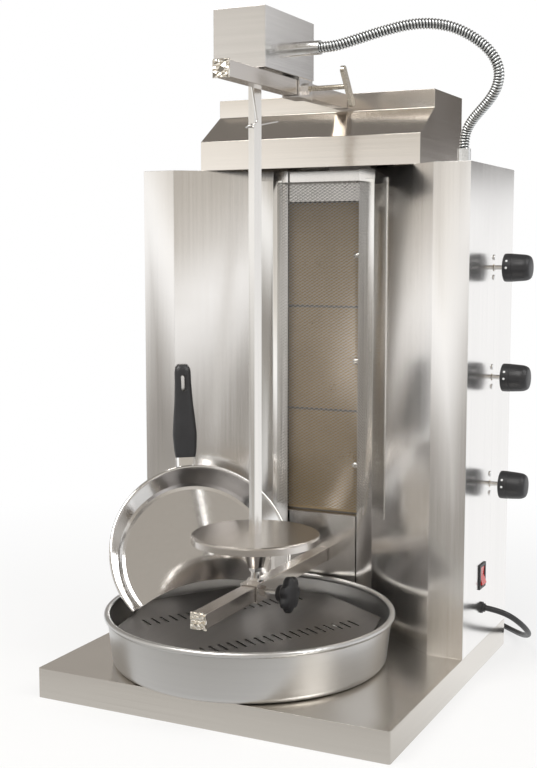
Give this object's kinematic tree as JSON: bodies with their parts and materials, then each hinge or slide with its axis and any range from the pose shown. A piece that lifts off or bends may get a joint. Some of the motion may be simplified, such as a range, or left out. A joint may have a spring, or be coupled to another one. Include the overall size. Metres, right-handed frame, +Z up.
{
  "type": "gas doner kebab grill",
  "caption": "Free-standing gas doner kebab grill with upright burners, a motor-driven spit on a rail, a drip tray and a meat scoop.",
  "frame": {"origin": "centre of the base's flat underside", "axes": "+Z up, +Y to the back, +X to the right, where the gas knobs are"},
  "size_m": [0.5597, 0.6658, 0.8945],
  "materials": {
    "stainless": "brushed",
    "stainless_dark": "brushed",
    "zinc": "zinc plated",
    "chrome": "polished",
    "aluminium": "satin",
    "dark_plate": "matt",
    "cast_iron": "cast",
    "ceramic": "unglazed ceramic",
    "brass": "machined",
    "black_plastic": "satin",
    "red_plastic": "gloss",
    "cord_rubber": "matt",
    "motor_paint": "satin"
  },
  "bodies": {
    "frame": {"base_tray": "stainless", "base_bottom": "stainless", "left_cabinet": "stainless", "right_cabinet": "stainless", "rear_cover": "stainless", "burner_housing": "stainless_dark", "lower_front_panel": "stainless", "burner_top_plate": "stainless", "burners": "cast_iron", "ceramic_plaques": "ceramic", "mesh_guard": "stainless_dark", "corner_reflectors": "stainless", "thermocouples": "chrome", "hood": "stainless", "upper_rail": "stainless", "lower_arm": "stainless", "end_caps": "chrome", "rear_post": "stainless", "conduit_ferrule": "zinc", "injectors_and_pipes": "brass", "gas_valves": "brass", "gas_manifold": "brass", "switch_housing": "black_plastic", "cord_gland": "black_plastic", "mains_cord": "cord_rubber", "cord_coil": "cord_rubber", "cord_tie": "black_plastic", "mains_plug": "black_plastic", "panel_screws": "zinc"},
    "motor_carriage": {"motor_tray": "stainless", "motor_cover": "stainless", "gear_motor": "motor_paint", "conduit_adaptor": "zinc", "conduit_hose": "zinc"},
    "spit": {"spit_rod": "stainless", "spit_pin": "stainless", "spit_disc": "stainless_dark", "output_gear": "cast_iron"},
    "pinion": {"motor_pinion": "brass"},
    "lower_bracket": {"arm_bracket": "stainless", "thrust_bearing": "brass"},
    "rail_pad": {"rail_clamp_pad": "brass"},
    "rail_screw": {"rail_clamp_handle": "stainless"},
    "arm_pad": {"arm_clamp_pad": "brass"},
    "arm_screw": {"knob_stud": "zinc", "star_knob": "black_plastic"},
    "rocker": {"switch_rocker": "red_plastic"},
    "drip_tray": {"drip_tray": "aluminium"},
    "slotted_plate": {"slotted_plate": "dark_plate"},
    "scoop": {"scoop_pan": "chrome", "scoop_handle": "black_plastic"},
    "plunger_lower": {"valve_plunger_lower": "brass"},
    "knob_lower": {"valve_stem_lower": "zinc", "gas_knob_lower": "black_plastic"},
    "plunger_middle": {"valve_plunger_middle": "brass"},
    "knob_middle": {"valve_stem_middle": "zinc", "gas_knob_middle": "black_plastic"},
    "plunger_upper": {"valve_plunger_upper": "brass"},
    "knob_upper": {"valve_stem_upper": "zinc", "gas_knob_upper": "black_plastic"}
  },
  "joints": [
    {"name": "motor_carriage_slide", "type": "slide", "parent": "frame", "child": "motor_carriage", "axis": [0, 1, 0], "range_m": [-0.06, 0.06]},
    {"name": "lower_bracket_slide", "type": "slide", "parent": "frame", "child": "lower_bracket", "axis": [0, 1, 0], "range_m": [-0.06, 0.06]},
    {"name": "spit_turn", "type": "hinge", "parent": "motor_carriage", "child": "spit", "pos_m": [0, -0.098, 0.3], "axis": [0, 0, 1], "continuous": true},
    {"name": "pinion_turn", "type": "hinge", "parent": "motor_carriage", "child": "pinion", "pos_m": [0, -0.072, 0.849], "axis": [0, 0, 1], "continuous": true},
    {"name": "rail_pad_slide", "type": "slide", "parent": "motor_carriage", "child": "rail_pad", "axis": [1, 0, 0], "range_m": [0, 0.0025]},
    {"name": "rail_screw_turn", "type": "hinge", "parent": "rail_pad", "child": "rail_screw", "pos_m": [0.05, -0.029, 0.8075], "axis": [1, 0, 0], "range_deg": [-720, 0]},
    {"name": "arm_pad_slide", "type": "slide", "parent": "lower_bracket", "child": "arm_pad", "axis": [1, 0, 0], "range_m": [0, 0.0025]},
    {"name": "arm_screw_turn", "type": "hinge", "parent": "arm_pad", "child": "arm_screw", "pos_m": [0.03, -0.098, 0.14], "axis": [1, 0, 0], "range_deg": [-720, 0]},
    {"name": "rocker_tilt", "type": "hinge", "parent": "frame", "child": "rocker", "pos_m": [0.246, 0.118, 0.137], "axis": [0, 1, 0], "range_deg": [0, 16]},
    {"name": "drip_tray_slide", "type": "slide", "parent": "frame", "child": "drip_tray", "axis": [0, -1, 0], "range_m": [0, 0.06]},
    {"name": "slotted_plate_lift", "type": "slide", "parent": "drip_tray", "child": "slotted_plate", "axis": [0, 0, 1], "range_m": [0, 0.025]},
    {"name": "scoop_lift", "type": "slide", "parent": "slotted_plate", "child": "scoop", "axis": [0, 0, 1], "range_m": [0, 0.25]},
    {"name": "knob_lower_push", "type": "slide", "parent": "frame", "child": "plunger_lower", "axis": [-1, 0, 0], "range_m": [0, 0.004], "stiffness_N_per_m": 800, "springref_m": -0.004},
    {"name": "knob_lower_turn", "type": "hinge", "parent": "plunger_lower", "child": "knob_lower", "pos_m": [0.28, 0.15, 0.264], "axis": [1, 0, 0], "range_deg": [0, 200]},
    {"name": "knob_middle_push", "type": "slide", "parent": "frame", "child": "plunger_middle", "axis": [-1, 0, 0], "range_m": [0, 0.004], "stiffness_N_per_m": 800, "springref_m": -0.004},
    {"name": "knob_middle_turn", "type": "hinge", "parent": "plunger_middle", "child": "knob_middle", "pos_m": [0.28, 0.15, 0.417], "axis": [1, 0, 0], "range_deg": [0, 200]},
    {"name": "knob_upper_push", "type": "slide", "parent": "frame", "child": "plunger_upper", "axis": [-1, 0, 0], "range_m": [0, 0.004], "stiffness_N_per_m": 800, "springref_m": -0.004},
    {"name": "knob_upper_turn", "type": "hinge", "parent": "plunger_upper", "child": "knob_upper", "pos_m": [0.28, 0.15, 0.571], "axis": [1, 0, 0], "range_deg": [0, 200]}
  ],
  "couplings": [
    {"joint": "lower_bracket_slide", "follows": "motor_carriage_slide", "ratio": 1},
    {"joint": "pinion_turn", "follows": "spit_turn", "ratio": -3.3333},
    {"joint": "rail_screw_turn", "follows": "rail_pad_slide", "rad_per_m": -5021.5},
    {"joint": "arm_screw_turn", "follows": "arm_pad_slide", "rad_per_m": -5021.5}
  ]
}
